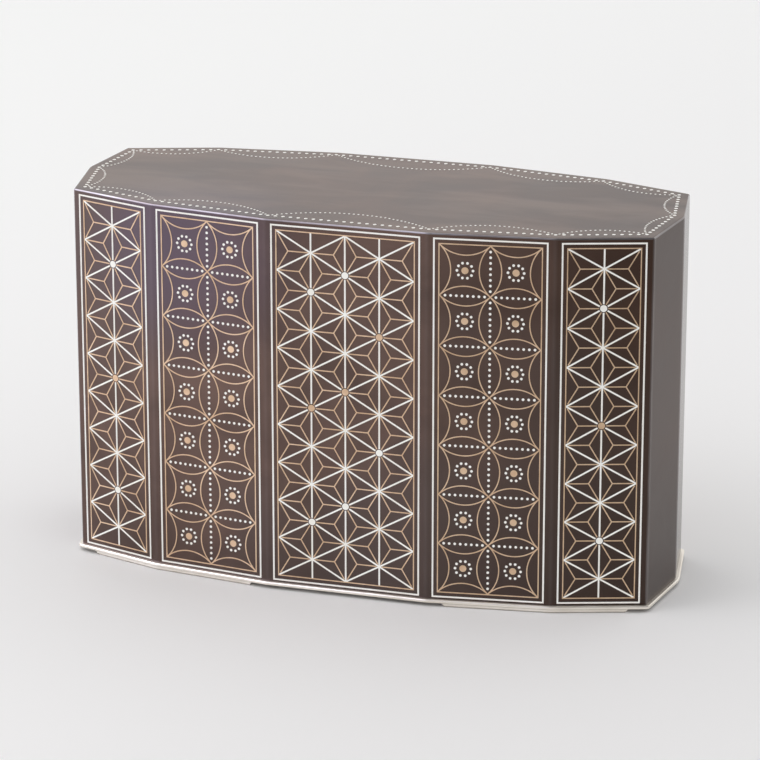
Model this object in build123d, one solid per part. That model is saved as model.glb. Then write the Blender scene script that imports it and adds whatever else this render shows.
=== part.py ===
"""Tea ceremony box: a tall metal cover that lifts straight up off a low silver base.

The cover is a shell of dark patinated copper alloy, closed at the top and open below. Its plan is a
long polygon of fourteen sides: five flat facets along the front, five along the back, and two at each
end that meet in a low ridge. It is made of a top plate, two long walls folded at their facets, and two
end walls. Silver and gold foil is hammered on to the long walls and the top.
The base is a silver plate a little larger than the cover, on four low feet. A low flange stands up
from it inside the cover and keeps the cover in place.

Frame: +X along the length, -Y the front, +Z up, millimetres. The origin is the middle of the
footprint, on the surface that the feet stand on.
"""

from build123d import *
import math
import os

# ---- plan of the cover, over the outside of its walls ----
depth = 120.0  # front to back, across the middle facets
centre_width = 80.0  # width of the middle facet
inner_run = 60.0  # length along X of the facet beside the middle one
inner_drop = 8.0  # and how far it falls back
outer_run = 44.0  # length along X of the outermost facet of a long side
outer_drop = 14.0  # and how far it falls back
end_rise = 6.0  # how far the ridge of each end stands out past the corners

# ---- the cover's sheet metal ----
wall_height = 182.6
wall = 1.2  # thickness of the walls
top_thickness = 1.4
fold_radius = 12.0  # outside of the soft folds between facets
corner_radius = 0.8  # outside of the four soldered corners
arris_radius = 0.9  # rounding round the edge of the top

# ---- the base ----
ledge = 1.8  # how far the plate stands out past the cover
plate_thickness = 1.8
plate_rounding = 0.6
flange_height = 9.0
flange_thickness = 1.2
flange_clearance = 0.3  # between the flange and the inside of the cover
flange_lead = 0.4  # chamfer round the top of the flange
foot_height = 1.8
foot_width = 6.0
foot_setback = 1.1  # from the edge of the plate
foot_end_gap = 8.0  # along X, from the corner and from the inner fold to the ends of a foot
foot_slope = 1.5  # how far the ends of a foot lean in over its height

# ---- the inlay: strips and dots of silver and gold foil ----
foil = 0.15  # how far it stands proud
silver_line = 0.8
gold_line = 0.55
side_margin = 3.5  # from a fold to the silver frame of a panel
end_margin = 1.3  # from the top and bottom of a wall to the silver frame
frame_gap = 2.4  # from the silver frame to the gold frame, line centre to line centre
leaf_rows = 9  # hemp-leaf stars up a panel
star_gap = 1.6  # from the middle of a star to the ends of its gold lines
disc_radius = 1.7
disc_gap = 0.45  # bare ring round a disc
ring_rows = 7  # linked rings up a panel
petal_dots = 8  # between the tips of a petal
rosette_dots = 10
rosette_radius = 3.8
dot_radius = 0.65

# ---- the dotted border of the top ----
border_inset = 5.0  # from the edge of the top to the dotted line that follows it
border_pitch = 3.8
border_dot_radius = 0.85
scallop_pitch = 2.3
scallop_dot_radius = 0.5
scallop_rise = 0.17  # of a dotted scallop, as a share of its chord

# ---- heights ----
plate_top = foot_height + plate_thickness
wall_top = plate_top + wall_height

# ---- the plan's corners, counter-clockwise from the front left corner ----
fold_x = [centre_width / 2, centre_width / 2 + inner_run]
corner_x = fold_x[-1] + outer_run
quarter = [
    (fold_x[0], -depth / 2),
    (fold_x[1], -depth / 2 + inner_drop),
    (corner_x, -depth / 2 + inner_drop + outer_drop),
]
front = [(-x, y) for x, y in reversed(quarter)] + quarter
ridge = (corner_x + end_rise, 0.0)
plan = front + [ridge] + [(-x, -y) for x, y in front] + [(-ridge[0], 0.0)]
front_left, front_right, back_right, back_left = 0, 5, 7, 12  # places in plan of the soldered corners
soldered = (front_left, front_right, back_right, back_left)


def grown(outset):
    """The plan's corners, moved out along their mitres so that every side moves out by this much."""
    moved = []
    for before, here, after in zip(plan[-1:] + plan[:-1], plan, plan[1:] + plan[:1]):
        first = (Vector(*here) - Vector(*before)).normalized().rotate(Axis.Z, -90)
        second = (Vector(*after) - Vector(*here)).normalized().rotate(Axis.Z, -90)
        mitre = (first + second) / (1 + first.dot(second))
        point = Vector(*here) + mitre * outset
        moved.append((point.X, point.Y))
    return moved


def outline(outset=0.0):
    """The plan grown by this much, with its folds and corners rounded about the same centres."""
    radii = []
    for place in range(len(plan)):
        radius = corner_radius if place in soldered else fold_radius
        radii.append(max(radius + outset, 0.0))
    return make_face(FilletPolyline(*grown(outset), radius=radii, close=True))


def stretch(first, last):
    """The strip of the plan that holds the walls from one corner to another, cut off on their mitres."""
    outer = grown(wall)[first : last + 1]
    inner = grown(-2 * wall)[first : last + 1]
    return make_face(Polyline(*outer, *reversed(inner), close=True))


# ---- the cover ----

def wall_sheet(first, last):
    """A wall from one soldered corner to the next, folded at the corners of the plan between them."""
    section = (outline() - outline(-wall)) & stretch(first, last)
    return Pos(0, 0, plate_top) * extrude(section, wall_height)


def top_plate():
    plate = extrude(outline(), top_thickness)
    plate = fillet(plate.faces().sort_by(Axis.Z)[-1].edges(), arris_radius)
    return Pos(0, 0, wall_top) * plate


# ---- the base ----

def base_plate():
    plate = extrude(outline(ledge), plate_thickness)
    rims = plate.faces().sort_by(Axis.Z)
    plate = fillet(rims[0].edges() + rims[-1].edges(), plate_rounding)
    return Pos(0, 0, foot_height) * plate


def locating_flange():
    gap = wall + flange_clearance
    flange = extrude(outline(-gap) - outline(-gap - flange_thickness), flange_height)
    flange = chamfer(flange.faces().sort_by(Axis.Z)[-1].edges(), flange_lead)
    return Pos(0, 0, plate_top) * flange


def front_right_foot():
    """A flat strip under the two facets right of the middle, with ends that lean in as they go down."""
    band = outline(ledge - foot_setback) - outline(ledge - foot_setback - foot_width)
    near = fold_x[0] + foot_end_gap
    far = corner_x - foot_end_gap
    side = [(near, foot_height), (far, foot_height), (far - foot_slope, 0), (near + foot_slope, 0)]
    span = extrude(Plane.XZ * make_face(Polyline(*side, close=True)), depth)
    return extrude(band, foot_height) & span


# ---- flat patterns for the inlay, drawn about the middle of a panel ----

def strip(start, end, width):
    """A straight line of foil, carried half its width past both ends so that meeting lines fill in."""
    start = Vector(*start)
    run = Vector(*end) - start
    turn = math.degrees(math.atan2(run.Y, run.X))
    middle = start + run / 2
    return Pos(middle.X, middle.Y) * Rot(0, 0, turn) * Rectangle(run.length + width, width)


def frame(width, height, line):
    return Rectangle(width + line, height + line) - Rectangle(width - line, height - line)


def leaf_field(width, height):
    """Hemp leaf: a silver lattice of triangles, and in each whole triangle three gold lines from its
    middle towards its corners, which make gold stars at the crossings. Discs lie on some of the stars."""
    rise = height / leaf_rows
    columns = max(1, round(width / (rise * math.cos(math.pi / 6))))
    step = width / columns
    climb = columns * rise / 2
    silver = []
    for column in range(1, columns):
        x = column * step - width / 2
        silver.append(strip((x, -height / 2), (x, height / 2), silver_line))
    for row in range(-columns, leaf_rows + columns + 1):
        y = row * rise - height / 2
        silver.append(strip((-width / 2, y), (width / 2, y + climb), silver_line))
        silver.append(strip((-width / 2, y), (width / 2, y - climb), silver_line))
    silver = (Sketch() + silver) & Rectangle(width, height)

    corners = [Vector(2 * step / 3, 0), Vector(-step / 3, rise / 2), Vector(-step / 3, -rise / 2)]
    tips = [corner * (1 - star_gap / corner.length) for corner in corners]
    leaf = Sketch() + [strip((0, 0), (tip.X, tip.Y), gold_line) for tip in tips]
    leaves = []
    for column in range(columns):
        for half in range(1, 2 * leaf_rows):
            points_right = (half + column) % 2 == 1
            x = (column + (1 / 3 if points_right else 2 / 3)) * step - width / 2
            turn = 0 if points_right else 180
            leaves.append(Pos(x, half * rise / 2 - height / 2) * Rot(0, 0, turn) * leaf)

    bare = []
    silver_discs = []
    gold_discs = []
    for column in range(1, columns):
        for row in range(1, leaf_rows):
            if (row + 2 * column) % 3 == 0:
                spot = Pos(column * step - width / 2, (row + column % 2 / 2) * rise - height / 2)
                bare.append(spot * Circle(disc_radius + disc_gap))
                discs = silver_discs if (row + column) % 2 == 0 else gold_discs
                discs.append(spot * Circle(disc_radius))
    gold = Sketch() + leaves - bare + gold_discs
    return silver - bare + silver_discs, gold


def dotted(start, end):
    """Dots along the middle of a petal, with none at its two tips."""
    start = Vector(*start)
    step = (Vector(*end) - start) / (petal_dots + 1)
    spots = [start + step * place for place in range(1, petal_dots + 1)]
    return [Pos(spot.X, spot.Y) * Circle(dot_radius) for spot in spots]


def ring_field(width, height):
    """Linked rings: a net of gold rings, each through the four corners of its square, so that they
    cross as petals. Silver dots run down the middle of the petals, and in the middle of each ring more
    dots circle a gold disc."""
    up = height / ring_rows
    columns = max(1, round(width / up))
    across = width / columns
    radius = math.hypot(across, up) / 2
    ring = Circle(radius + gold_line / 2) - Circle(radius - gold_line / 2)
    rosette = [spot * Circle(dot_radius) for spot in PolarLocations(rosette_radius, rosette_dots)]
    rings = []
    dots = []
    discs = []
    for column in range(-1, columns + 1):
        for row in range(-1, ring_rows + 1):
            left, low = column * across - width / 2, row * up - height / 2
            right, high = left + across, low + up
            middle = Pos((left + right) / 2, (low + high) / 2)
            rings.append(middle * ring)
            if 0 <= column < columns and 0 <= row < ring_rows:
                discs.append(middle * Circle(disc_radius))
                dots += [middle * dot for dot in rosette]
                if column > 0:
                    dots += dotted((left, low), (left, high))
                if row > 0:
                    dots += dotted((left, low), (right, low))
    gold = ((Sketch() + rings) & Rectangle(width, height)) + discs
    return Sketch() + dots, gold


def panel(facet_width, pattern):
    """A framed panel for a facet of this width: its silver and its gold."""
    width = facet_width - 2 * side_margin
    height = wall_height - 2 * end_margin
    inner_width = width - 2 * frame_gap
    inner_height = height - 2 * frame_gap
    silver, gold = pattern(inner_width - gold_line, inner_height - gold_line)
    return silver + frame(width, height, silver_line), gold + frame(inner_width, inner_height, gold_line)


def front_panels():
    """The silver and the gold on each facet of the front, as named solids on the wall's face."""
    patterns = {"centre": leaf_field, "inner_right": ring_field, "outer_right": leaf_field}
    panels = {}
    for (name, pattern), start, end in zip(patterns.items(), front[2:-1], front[3:]):
        along = Vector(*end) - Vector(*start)
        middle = (Vector(*start) + Vector(*end)) / 2 + Vector(0, 0, plate_top + wall_height / 2)
        face = Plane(middle, x_dir=along, z_dir=along.rotate(Axis.Z, -90))
        for metal, sketch in zip(("silver", "gold"), panel(along.length, pattern)):
            inlay = face * extrude(sketch, foil)
            panels[f"{name}_{metal}"] = inlay
            if name != "centre":
                panels[f"{name.replace('right', 'left')}_{metal}"] = mirror(inlay, Plane.YZ)
    return panels


def top_border():
    """Silver dots on the top: a bold line that follows its edge, and a fine scallop inside each side."""
    line = grown(-border_inset)
    bold = []
    fine = []
    for start, end in zip(line, line[1:] + line[:1]):
        side = Edge.make_line(start, end)
        inward = (Vector(*end) - Vector(*start)).rotate(Axis.Z, 90) * scallop_rise
        scallop = ThreePointArc(start, side @ 0.5 + inward, end)
        count = round(side.length / border_pitch)
        bold += [side @ (place / count) for place in range(count)]
        count = round(scallop.length / scallop_pitch)
        fine += [scallop @ (place / count) for place in range(1, count)]
    sketch = Sketch() + [Pos(dot.X, dot.Y) * Circle(border_dot_radius) for dot in bold]
    sketch += [Pos(dot.X, dot.Y) * Circle(scallop_dot_radius) for dot in fine]
    return Pos(0, 0, wall_top + top_thickness) * extrude(sketch, foil)


# ---- the pieces ----

half_turn = Rot(0, 0, 180)
front_wall = wall_sheet(front_left, front_right)
right_end_wall = wall_sheet(front_right, back_right)
right_foot = front_right_foot()
left_foot = mirror(right_foot, Plane.YZ)
pieces = {
    "top_plate": top_plate(),
    "front_wall": front_wall,
    "back_wall": half_turn * front_wall,
    "right_end_wall": right_end_wall,
    "left_end_wall": half_turn * right_end_wall,
    "top_border": top_border(),
    "base_plate": base_plate(),
    "locating_flange": locating_flange(),
    "front_right_foot": right_foot,
    "front_left_foot": left_foot,
    "back_left_foot": half_turn * right_foot,
    "back_right_foot": half_turn * left_foot,
}
for name, solid in front_panels().items():
    pieces["front_" + name] = solid
    pieces["back_" + name] = half_turn * solid

os.makedirs("parts", exist_ok=True)
for name, solid in pieces.items():
    export_step(solid, f"parts/{name}.step")
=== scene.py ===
"""The tea ceremony box in the studio: the finish of its metals, the floor, the light and the camera."""

import math

import bpy
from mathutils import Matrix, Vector

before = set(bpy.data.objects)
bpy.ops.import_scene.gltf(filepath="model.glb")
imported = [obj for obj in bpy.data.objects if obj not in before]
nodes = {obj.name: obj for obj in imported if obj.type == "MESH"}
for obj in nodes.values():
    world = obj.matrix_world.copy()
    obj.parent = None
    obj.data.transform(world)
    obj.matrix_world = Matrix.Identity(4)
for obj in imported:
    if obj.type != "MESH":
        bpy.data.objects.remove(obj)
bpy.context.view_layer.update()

# ---- the walls and the top of the cover ----
# Sheet of a copper alloy with some silver in it, folded and soldered, then polished with charcoal and boiled
# in a copper salt bath. That leaves a thin dark skin: brown with clouds of grey, satin, and a little lighter
# where hands and cloths have rubbed the folds. The violet high on the left is a painted reflection.


def linear(hex_colour):
    """The linear colour that an sRGB hex value stands for."""
    channels = [int(hex_colour[place : place + 2], 16) / 255 for place in (1, 3, 5)]
    curve = [c / 12.92 if c <= 0.04045 else ((c + 0.055) / 1.055) ** 2.4 for c in channels]
    return (*curve, 1.0)


def add(tree, kind, links=(), **settings):
    """Adds a node. A setting is one of its properties or, by name, the value of one of its inputs."""
    node = tree.nodes.new(kind)
    for name, value in settings.items():
        if hasattr(node, name):
            setattr(node, name, value)
        else:
            node.inputs[name.replace("_", " ")].default_value = value
    for source, output, socket in links:
        tree.links.new(source.outputs[output], node.inputs[socket])
    return node


def mapped(tree, source, output, span, result=(0.0, 1.0), **settings):
    """Maps a value from one span to another, and holds it at the ends."""
    (low, high), (start, end) = span, result
    ends = {"From_Min": low, "From_Max": high, "To_Min": start, "To_Max": end}
    return add(tree, "ShaderNodeMapRange", [(source, output, "Value")], **ends, **settings)


def reckon(tree, operation, *terms):
    """One step of arithmetic. Each term is a number, or a node and the name of its output."""
    step = add(tree, "ShaderNodeMath", operation=operation)
    for socket, term in zip(step.inputs, terms):
        if isinstance(term, tuple):
            source, output = term
            tree.links.new(source.outputs[output], socket)
        else:
            socket.default_value = term
    return step


def towards_colour(tree, share, ground, colour):
    """Turns the colour of one node towards a plain colour, by the share that another node gives."""
    mix = add(tree, "ShaderNodeMix", [(*share, 0), (*ground, 6)], data_type="RGBA")
    mix.inputs[7].default_value = linear(colour)
    return mix


def between_colours(tree, share, start, end):
    """A colour between two plain colours, by the share that a node gives."""
    mix = add(tree, "ShaderNodeMix", [(*share, 0)], data_type="RGBA")
    mix.inputs[6].default_value = linear(start)
    mix.inputs[7].default_value = linear(end)
    return mix


def new_material(name):
    material = bpy.data.materials.new(name)
    material.use_nodes = True
    material.node_tree.nodes.clear()
    return material, material.node_tree


def end_in_metal(tree, colour, roughness, normal, **settings):
    """Closes a material with its one shader."""
    links = [(*colour, "Base Color"), (*roughness, "Roughness"), (*normal, "Normal")]
    shader = add(tree, "ShaderNodeBsdfPrincipled", links, **settings)
    add(tree, "ShaderNodeOutputMaterial", [(shader, "BSDF", "Surface")])


def dress(material, *names):
    """Gives these CAD nodes this one material."""
    for name in names:
        mesh = nodes[name].data
        mesh.materials.clear()
        mesh.materials.append(material)


patina, tree = new_material("patinated_copper_alloy")
place = add(tree, "ShaderNodeTexCoord")
on_box = [(place, "Object", "Vector")]
across = add(tree, "ShaderNodeSeparateXYZ", on_box)
clouds = add(tree, "ShaderNodeTexNoise", on_box, Scale=24.0, Detail=5.0, Roughness=0.55, Distortion=0.5)
drift = add(tree, "ShaderNodeTexNoise", on_box, Scale=8.0, Detail=2.0, Roughness=0.5)
grain = add(tree, "ShaderNodeTexNoise", on_box, Scale=700.0, Detail=3.0, Roughness=0.6)

# The clouds of the patina, 20 to 40 mm across, run from dark to warm brown, and part of the skin is greyer.
brown = add(tree, "ShaderNodeValToRGB", [(clouds, "Fac", "Fac")])
brown_tones = [(0.34, "#58463e"), (0.66, "#6f594e")]
for stop, (position, colour) in zip(brown.color_ramp.elements, brown_tones):
    stop.position = position
    stop.color = linear(colour)
grey_share = mapped(tree, drift, "Fac", (0.44, 0.6), (0.0, 0.8))
skin = towards_colour(tree, (grey_share, "Result"), (brown, "Color"), "#60524c")

# It is painted browner and darker towards the right and darker low down: painted shade for the dim
# reflections there. High on the left it has a painted violet reflection.
right_of_middle, right_corner = 0.03, 0.144
foot_of_cover, top_of_low_shade = 0.0036, 0.085
# Painted shade: browner and darker towards the right end.
right_shade = mapped(tree, across, "X", (right_of_middle, right_corner), (0.0, 0.62))
shaded_right = towards_colour(tree, (right_shade, "Result"), (skin, 2), "#38200f")
# Painted shade: darker towards the foot of the cover.
low_shade = mapped(tree, across, "Z", (foot_of_cover, top_of_low_shade), (0.76, 1.0))
dimming = [(shaded_right, 2, "Vector"), (low_shade, "Result", "Scale")]
shaded_right_and_low = add(tree, "ShaderNodeVectorMath", dimming, operation="SCALE")
# A painted violet reflection, strongest high on the left front and fading out over about 72 mm.
sheen_centre, sheen_heart, sheen_reach = (-0.085, -0.058, 0.168), 0.012, 0.072
from_sheen = add(tree, "ShaderNodeVectorMath", [(place, "Object", 0)], operation="DISTANCE")
from_sheen.inputs[1].default_value = sheen_centre
sheen_span = (sheen_heart, sheen_reach)
violet_reflection = mapped(tree, from_sheen, "Value", sheen_span, (0.68, 0.0), interpolation_type="SMOOTHSTEP")
with_violet_reflection = towards_colour(tree, (violet_reflection, "Result"), (shaded_right_and_low, "Vector"), "#615562")

# Cloths have drawn paler smudges along the flat of the top.
just_under_the_top = 0.187
wiping = add(tree, "ShaderNodeMapping", on_box, Scale=(14.0, 46.0, 14.0))
in_streaks = [(wiping, "Vector", "Vector")]
wiped = add(tree, "ShaderNodeTexNoise", in_streaks, Scale=1.0, Detail=4.0, Roughness=0.5, Distortion=0.4)
smudge = mapped(tree, wiped, "Fac", (0.42, 0.64), (0.0, 0.28))
on_top = reckon(tree, "GREATER_THAN", (across, "Z"), just_under_the_top)
smudge = reckon(tree, "MULTIPLY", (smudge, "Result"), (on_top, "Value"))
smudged = towards_colour(tree, (smudge, "Value"), (with_violet_reflection, 2), "#9c8474")

# The skin is rubbed thin along the rounded top edge, at the folds and down the four corners, and painted
# paler there: worn metal, and along the top edge a painted highlight as well. Each mask is the distance
# from that line, broken up by the clouds.
arris_foot, folds_end, arris_full = 0.18655, 0.1866, 0.18685
arris_end, flat_top = 0.18745, 0.18758
worn_folds = [  # how far from the middle, half the worn width and the share of the skin that is gone
    (0.0400, 0.0014, 0.07),
    (0.1000, 0.0014, 0.07),
    (0.14385, 0.0006, 0.45),
]
on_edge = mapped(tree, across, "Z", (arris_foot, arris_full))
off_the_flat = mapped(tree, across, "Z", (arris_end, flat_top), (1.0, 0.0))
rubbed_lines = reckon(tree, "MULTIPLY", (on_edge, "Result"), (off_the_flat, "Result"))
below_the_arris = reckon(tree, "LESS_THAN", (across, "Z"), folds_end)
sideways = reckon(tree, "ABSOLUTE", (across, "X"))
for fold, half_width, share in worn_folds:
    apart = reckon(tree, "SUBTRACT", (sideways, "Value"), fold)
    apart = reckon(tree, "ABSOLUTE", (apart, "Value"))
    near = mapped(tree, apart, "Value", (0.0, half_width), (share, 0.0))
    near = reckon(tree, "MULTIPLY", (near, "Result"), (below_the_arris, "Value"))
    rubbed_lines = reckon(tree, "MAXIMUM", (rubbed_lines, "Value"), (near, "Value"))
patchy = mapped(tree, clouds, "Fac", (0.3, 0.62), (0.45, 1.0))
wear_and_highlight = reckon(tree, "MULTIPLY", (rubbed_lines, "Value"), (patchy, "Result"))
# Paler grey on the worn lines: partly bare metal, partly a painted highlight along the top edge.
worn_and_highlit = towards_colour(tree, (wear_and_highlight, "Value"), (smudged, 2), "#a09c9c")

# Satin where the skin is whole and nearly polished where it is worn. The sheet is a little uneven from the
# hammer, and its grain, really 0.02 mm, is drawn at 1 mm so that it shows.
polished = 0.3
satin = mapped(tree, clouds, "Fac", (0.3, 0.7), (0.54, 0.62))
shine = add(tree, "ShaderNodeMix", [(wear_and_highlight, "Value", 0), (satin, "Result", 2)], data_type="FLOAT")
shine.inputs[3].default_value = polished
planish = add(tree, "ShaderNodeBump", [(clouds, "Fac", "Height")], Strength=0.35, Distance=0.0008)
over_planish = [(grain, "Fac", "Height"), (planish, "Normal", "Normal")]
relief = add(tree, "ShaderNodeBump", over_planish, Strength=0.06, Distance=0.0002)
coat = {"Coat_Weight": 0.85, "Coat_Roughness": 0.16, "Coat_IOR": 1.32}
end_in_metal(tree, (worn_and_highlit, 2), (shine, 0), (relief, "Normal"), Metallic=1.0, **coat)
dress(patina, "top_plate", "front_wall", "back_wall", "left_end_wall", "right_end_wall")

# ---- the silver and gold on the walls and the top ----
# Foil beaten on to the crosshatched metal in strips and dots, and burnished. The silver stays nearly white,
# and the gold is a pale alloy close to tan. Both are a little uneven, and keep a trace of the crosshatching
# under them.


def foil_material(name, light, dark, metallic):
    """A beaten foil between two tones, with the crosshatched ground, really 0.2 mm, drawn at 0.5 mm."""
    hatch_scale = 628.0
    foil, tree = new_material(name)
    place = add(tree, "ShaderNodeTexCoord")
    on_box = [(place, "Object", "Vector")]
    mottle = add(tree, "ShaderNodeTexNoise", on_box, Scale=260.0, Detail=3.0, Roughness=0.6)
    rubbed = add(tree, "ShaderNodeTexNoise", on_box, Scale=30.0, Detail=2.0)
    both = reckon(tree, "ADD", (mottle, "Fac"), (rubbed, "Fac"))
    amount = mapped(tree, both, "Value", (0.8, 1.2))
    tone = between_colours(tree, (amount, "Result"), dark, light)
    rising = add(tree, "ShaderNodeMapping", on_box, Rotation=(0.0, math.radians(45), 0.0))
    over_hatch = [(rising, "Vector", "Vector")]
    warp = add(tree, "ShaderNodeTexWave", over_hatch, bands_direction="X", Scale=hatch_scale)
    weft = add(tree, "ShaderNodeTexWave", over_hatch, bands_direction="Z", Scale=hatch_scale)
    ground = reckon(tree, "ADD", (warp, "Fac"), (weft, "Fac"))
    hatched = add(tree, "ShaderNodeBump", [(ground, "Value", "Height")], Strength=0.25, Distance=0.00005)
    shine = mapped(tree, mottle, "Fac", (0.3, 0.7), (0.42, 0.58))
    end_in_metal(tree, (tone, 2), (shine, "Result"), (hatched, "Normal"), Metallic=metallic)
    return foil


silver_foil = foil_material("burnished_silver_foil", "#fffefa", "#f8f5ee", 0.1)
dress(silver_foil, *[name for name in nodes if name.endswith("_silver") or name == "top_border"])
gold_foil = foil_material("burnished_pale_gold_foil", "#e4c8a8", "#d2b290", 0.7)
dress(gold_foil, *[name for name in nodes if name.endswith("_gold")])

# ---- the base ----
# Thick silver sheet, filed to a soft edge and finely brushed along its length. The plate, its flange and the
# four feet are soldered together, and a dark line is painted in the joint under the plate and along the soles
# of the feet: painted shade for the shadow line there and for the contact shadow where the feet stand.

brushed_silver, tree = new_material("brushed_silver")
place = add(tree, "ShaderNodeTexCoord")
on_box = [(place, "Object", "Vector")]
height = add(tree, "ShaderNodeSeparateXYZ", on_box)
along = add(tree, "ShaderNodeMapping", on_box, Scale=(18.0, 60.0, 1500.0))
in_lines = [(along, "Vector", "Vector")]
brushing = add(tree, "ShaderNodeTexNoise", in_lines, Scale=1.0, Detail=3.0, Roughness=0.6)
breath = add(tree, "ShaderNodeTexNoise", on_box, Scale=45.0, Detail=4.0)
amount = mapped(tree, breath, "Fac", (0.35, 0.65))
tone = between_colours(tree, (amount, "Result"), "#fffaf0", "#f1eade")
# Painted shade: a thin dark line at the joint under the plate and along the soles of the feet.
joint_height, joint_fade, sole_fade = 0.0018, (0.0001, 0.0004), (0.0002, 0.0006)
from_joint = reckon(tree, "SUBTRACT", (height, "Z"), joint_height)
from_joint = reckon(tree, "ABSOLUTE", (from_joint, "Value"))
joint_shade = mapped(tree, from_joint, "Value", joint_fade, (0.75, 0.0))
sole_shade = mapped(tree, height, "Z", sole_fade, (0.8, 0.0))
dark = reckon(tree, "MAXIMUM", (joint_shade, "Result"), (sole_shade, "Result"))
# This dark colour is painted shade for the joint's shadow line and the feet's contact shadow.
shaded_at_joint_and_sole = towards_colour(tree, (dark, "Value"), (tone, 2), "#7d7268")
shine = mapped(tree, brushing, "Fac", (0.3, 0.7), (0.3, 0.42))
relief = add(tree, "ShaderNodeBump", [(brushing, "Fac", "Height")], Strength=0.08, Distance=0.0001)
end_in_metal(tree, (shaded_at_joint_and_sole, 2), (shine, "Result"), (relief, "Normal"), Metallic=0.85)
dress(brushed_silver, "base_plate", "locating_flange", *[name for name in nodes if name.endswith("_foot")])

# ---- the studio ----
# A sheet of pale matt paper that runs back out of sight. The light falls off towards the front right, and the
# paper's own tone carries the part of that fall that the one lamp can't give.

floor_size = 16.0
towards_the_dark = (0.87, -0.5, 0.0)
reach = 1.0  # how far the tone changes to each side of the middle, in metres
paper_tones = [(-1.0, "#fdfdfd"), (0.0, "#f6f5f6"), (0.28, "#f0eff0"), (0.55, "#acabac"), (1.0, "#aaa9aa")]
bpy.ops.object.select_all(action="DESELECT")
bpy.ops.mesh.primitive_plane_add(size=floor_size, location=(0, 0, 0))
floor = bpy.context.object
floor.name = "floor"
paper, tree = new_material("grey_white_paper")
place = add(tree, "ShaderNodeTexCoord")
falling = add(tree, "ShaderNodeVectorMath", [(place, "Object", 0)], operation="DOT_PRODUCT")
falling.inputs[1].default_value = towards_the_dark
share_of_reach = mapped(tree, falling, "Value", (-reach, reach))
tone = add(tree, "ShaderNodeValToRGB", [(share_of_reach, "Result", "Fac")])
tone.color_ramp.interpolation = "EASE"
while len(tone.color_ramp.elements) < len(paper_tones):
    tone.color_ramp.elements.new(0.5)
for stop, (distance, colour) in zip(tone.color_ramp.elements, paper_tones):
    stop.position = (distance + reach) / (2 * reach)
    stop.color = linear(colour)
fibre = add(tree, "ShaderNodeTexNoise", [(place, "Object", "Vector")], Scale=500.0, Detail=2.0)
tooth = add(tree, "ShaderNodeBump", [(fibre, "Fac", "Height")], Strength=0.05, Distance=0.0002)
matt = [(tone, "Color", "Base Color"), (tooth, "Normal", "Normal")]
shader = add(tree, "ShaderNodeBsdfPrincipled", matt, Roughness=0.9)
add(tree, "ShaderNodeOutputMaterial", [(shader, "BSDF", "Surface")])
floor.data.materials.append(paper)

# The room: bright all round, brighter at a window on the left, and dim at the front right. The camera, metal
# and glass see it so, and everything else is lit by an even dome.
world = bpy.data.worlds.new("studio")
bpy.context.scene.world = world
world.use_nodes = True
tree = world.node_tree
tree.nodes.clear()
direction = add(tree, "ShaderNodeTexCoord")


def facing(towards, span, result=(0.0, 1.0)):
    """How much a direction in the room lies towards another, mapped to a brightness or a share."""
    turned = add(tree, "ShaderNodeVectorMath", [(direction, "Generated", 0)], operation="DOT_PRODUCT")
    turned.inputs[1].default_value = Vector(towards).normalized()
    return mapped(tree, turned, "Value", span, result, interpolation_type="SMOOTHSTEP")


front_right, front_left, far_left = (0.62, -0.70, 0.30), (-0.68, -0.72, 0.15), (-0.72, -0.68, 0.15)
dim = facing(front_right, (0.3, 0.75), (1.0, 0.06))
window = facing(front_left, (0.3, 0.95), (1.0, 4.0))
strength = reckon(tree, "MULTIPLY", (window, "Result"), (dim, "Result"))
cool = facing(far_left, (0.3, 0.9))
tint = between_colours(tree, (cool, "Result"), "#f6f5f5", "#e8e7ff")
seen = add(tree, "ShaderNodeBackground", [(strength, "Value", "Strength"), (tint, 2, "Color")])
dome = add(tree, "ShaderNodeBackground", Strength=0.9, Color=linear("#fafaf9"))
ray = add(tree, "ShaderNodeLightPath")
mirrored = reckon(tree, "MAXIMUM", (ray, "Is Glossy Ray"), (ray, "Is Transmission Ray"))
shown = reckon(tree, "MAXIMUM", (ray, "Is Camera Ray"), (mirrored, "Value"))
either = [(shown, "Value", 0), (dome, "Background", 1), (seen, "Background", 2)]
both = add(tree, "ShaderNodeMixShader", either)
add(tree, "ShaderNodeOutputWorld", [(both, "Shader", "Surface")])

# The window's own light, from high on the left.
window_place, window_aim = Vector((-1.7, -1.0, 1.7)), Vector((0.0, 0.0, 0.1))
window_width, window_height, window_watts = 1.5, 1.2, 9.0
lamp = bpy.data.lights.new("window", "AREA")
lamp.shape = "RECTANGLE"
lamp.size = window_width
lamp.size_y = window_height
lamp.energy = window_watts
light = bpy.data.objects.new("window", lamp)
light.location = window_place
light.rotation_euler = (window_aim - window_place).to_track_quat("-Z", "Y").to_euler()
bpy.context.scene.collection.objects.link(light)

# ---- the camera ----
# Two metres away, to the right of the front and a little above, with a long lens.

camera_distance = 2.001
camera_azimuth = 16.6
camera_elevation = 18.92
camera_aim = Vector((-0.0006, 0.0, 0.0910))
sensor_width, focal_length = 36.0, 193.1
azimuth, elevation = math.radians(camera_azimuth), math.radians(camera_elevation)
level = math.cos(elevation)
back = Vector((math.sin(azimuth) * level, -math.cos(azimuth) * level, math.sin(elevation)))
lens = bpy.data.cameras.new("camera")
lens.sensor_width = sensor_width
lens.lens = focal_length
camera = bpy.data.objects.new("camera", lens)
camera.location = camera_aim + back * camera_distance
camera.rotation_euler = (-back).to_track_quat("-Z", "Y").to_euler()
bpy.context.scene.collection.objects.link(camera)
bpy.context.scene.camera = camera
bpy.context.scene.view_settings.view_transform = "Standard"
